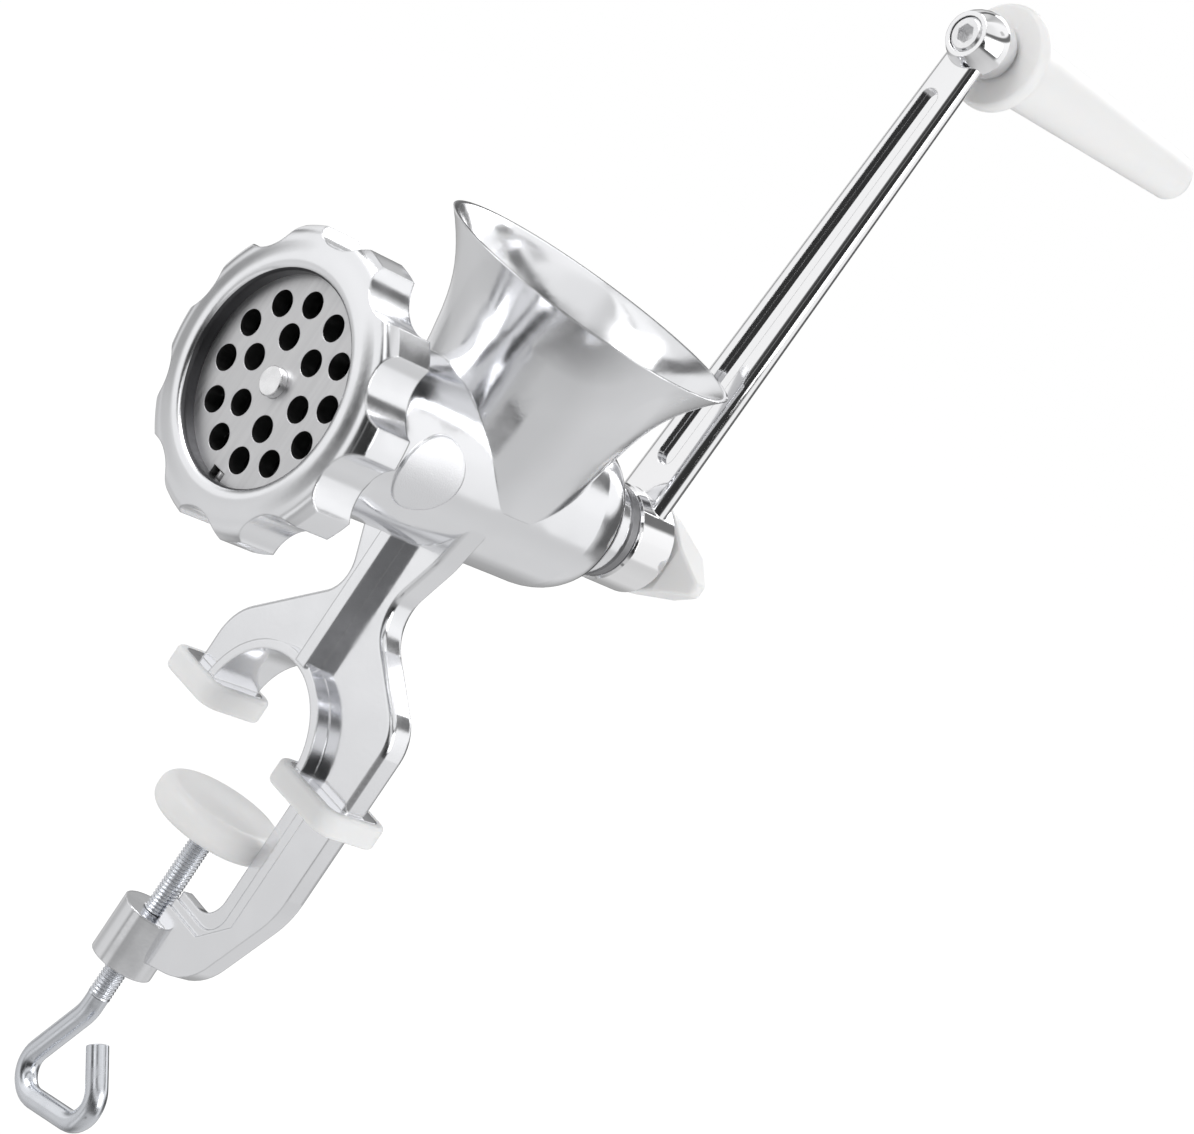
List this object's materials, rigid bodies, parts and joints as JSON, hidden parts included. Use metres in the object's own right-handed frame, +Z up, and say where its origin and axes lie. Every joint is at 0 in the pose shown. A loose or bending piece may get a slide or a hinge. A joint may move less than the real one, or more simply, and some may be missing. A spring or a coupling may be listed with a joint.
{
  "type": "hand crank meat grinder",
  "caption": "Table-clamped meat grinder: cast body with flared hopper, feed screw, knife, perforated plate, scalloped ring nut and long crank.",
  "frame": {"origin": "clamp screw's axis, in the plane of the table top that the foot caps stand on", "axes": "+Z up along the clamp screw, the plate looks to -Y, the crank is at +Y, and the clamp frame's spine is on +X"},
  "size_m": [0.0826, 0.2424, 0.3711],
  "materials": {
    "cast_aluminium": "polished casting",
    "plate_steel": "ground satin",
    "bright_steel": "bright turned",
    "washer_steel": "satin",
    "zinc_steel": "bright zinc plated",
    "chromed_arm": "chromed",
    "bush_bronze": "turned bronze",
    "white_plastic": "smooth moulded"
  },
  "bodies": {
    "casting": {"grinder_body": "cast_aluminium", "plate_key": "bright_steel", "rear_bush": "bush_bronze", "near_foot_cap": "white_plastic", "far_foot_cap": "white_plastic"},
    "plate": {"cutting_plate": "plate_steel"},
    "ring": {"ring_nut": "cast_aluminium"},
    "crank": {"feed_screw": "cast_aluminium", "nose_stud": "bright_steel", "knife": "plate_steel", "thrust_washer": "washer_steel", "crank_arm": "chromed_arm", "grip_washer": "washer_steel"},
    "grip": {"grip": "white_plastic", "grip_screw": "bright_steel"},
    "knob_seat": {"knob_washer": "washer_steel"},
    "knob": {"wing_knob": "white_plastic", "wing_stud": "bright_steel"},
    "pad": {"clamp_pad": "white_plastic", "pad_plate": "bright_steel"},
    "screw": {"clamp_screw": "zinc_steel"}
  },
  "joints": [
    {"name": "plate_travel", "type": "slide", "parent": "casting", "child": "plate", "axis": [0, -1, 0], "range_m": [0, 0.009]},
    {"name": "ring_turn", "type": "hinge", "parent": "plate", "child": "ring", "pos_m": [0, -0.058, 0.088], "axis": [0, -1, 0], "range_deg": [0, 1080]},
    {"name": "crank_turn", "type": "hinge", "parent": "casting", "child": "crank", "pos_m": [0, 0.048, 0.088], "axis": [0, -1, 0], "continuous": true},
    {"name": "grip_spin", "type": "hinge", "parent": "crank", "child": "grip", "pos_m": [0, 0.081, 0.244], "axis": [0, 1, 0], "continuous": true},
    {"name": "knob_travel", "type": "slide", "parent": "crank", "child": "knob_seat", "axis": [0, 1, 0], "range_m": [0, 0.006]},
    {"name": "knob_turn", "type": "hinge", "parent": "knob_seat", "child": "knob", "pos_m": [0, 0.076, 0.088], "axis": [0, 1, 0], "range_deg": [0, 2160]},
    {"name": "pad_travel", "type": "slide", "parent": "casting", "child": "pad", "axis": [0, 0, 1], "range_m": [-0.012, 0.0078]},
    {"name": "clamp_screw_turn", "type": "hinge", "parent": "pad", "child": "screw", "pos_m": [0, 0, -0.06], "axis": [0, 0, 1], "range_deg": [-4320, 2808]}
  ],
  "couplings": [
    {"joint": "plate_travel", "follows": "ring_turn", "m_per_rad": 0.00047746},
    {"joint": "knob_travel", "follows": "knob_turn", "m_per_rad": 0.00015915},
    {"joint": "pad_travel", "follows": "clamp_screw_turn", "m_per_rad": 0.00015915}
  ]
}
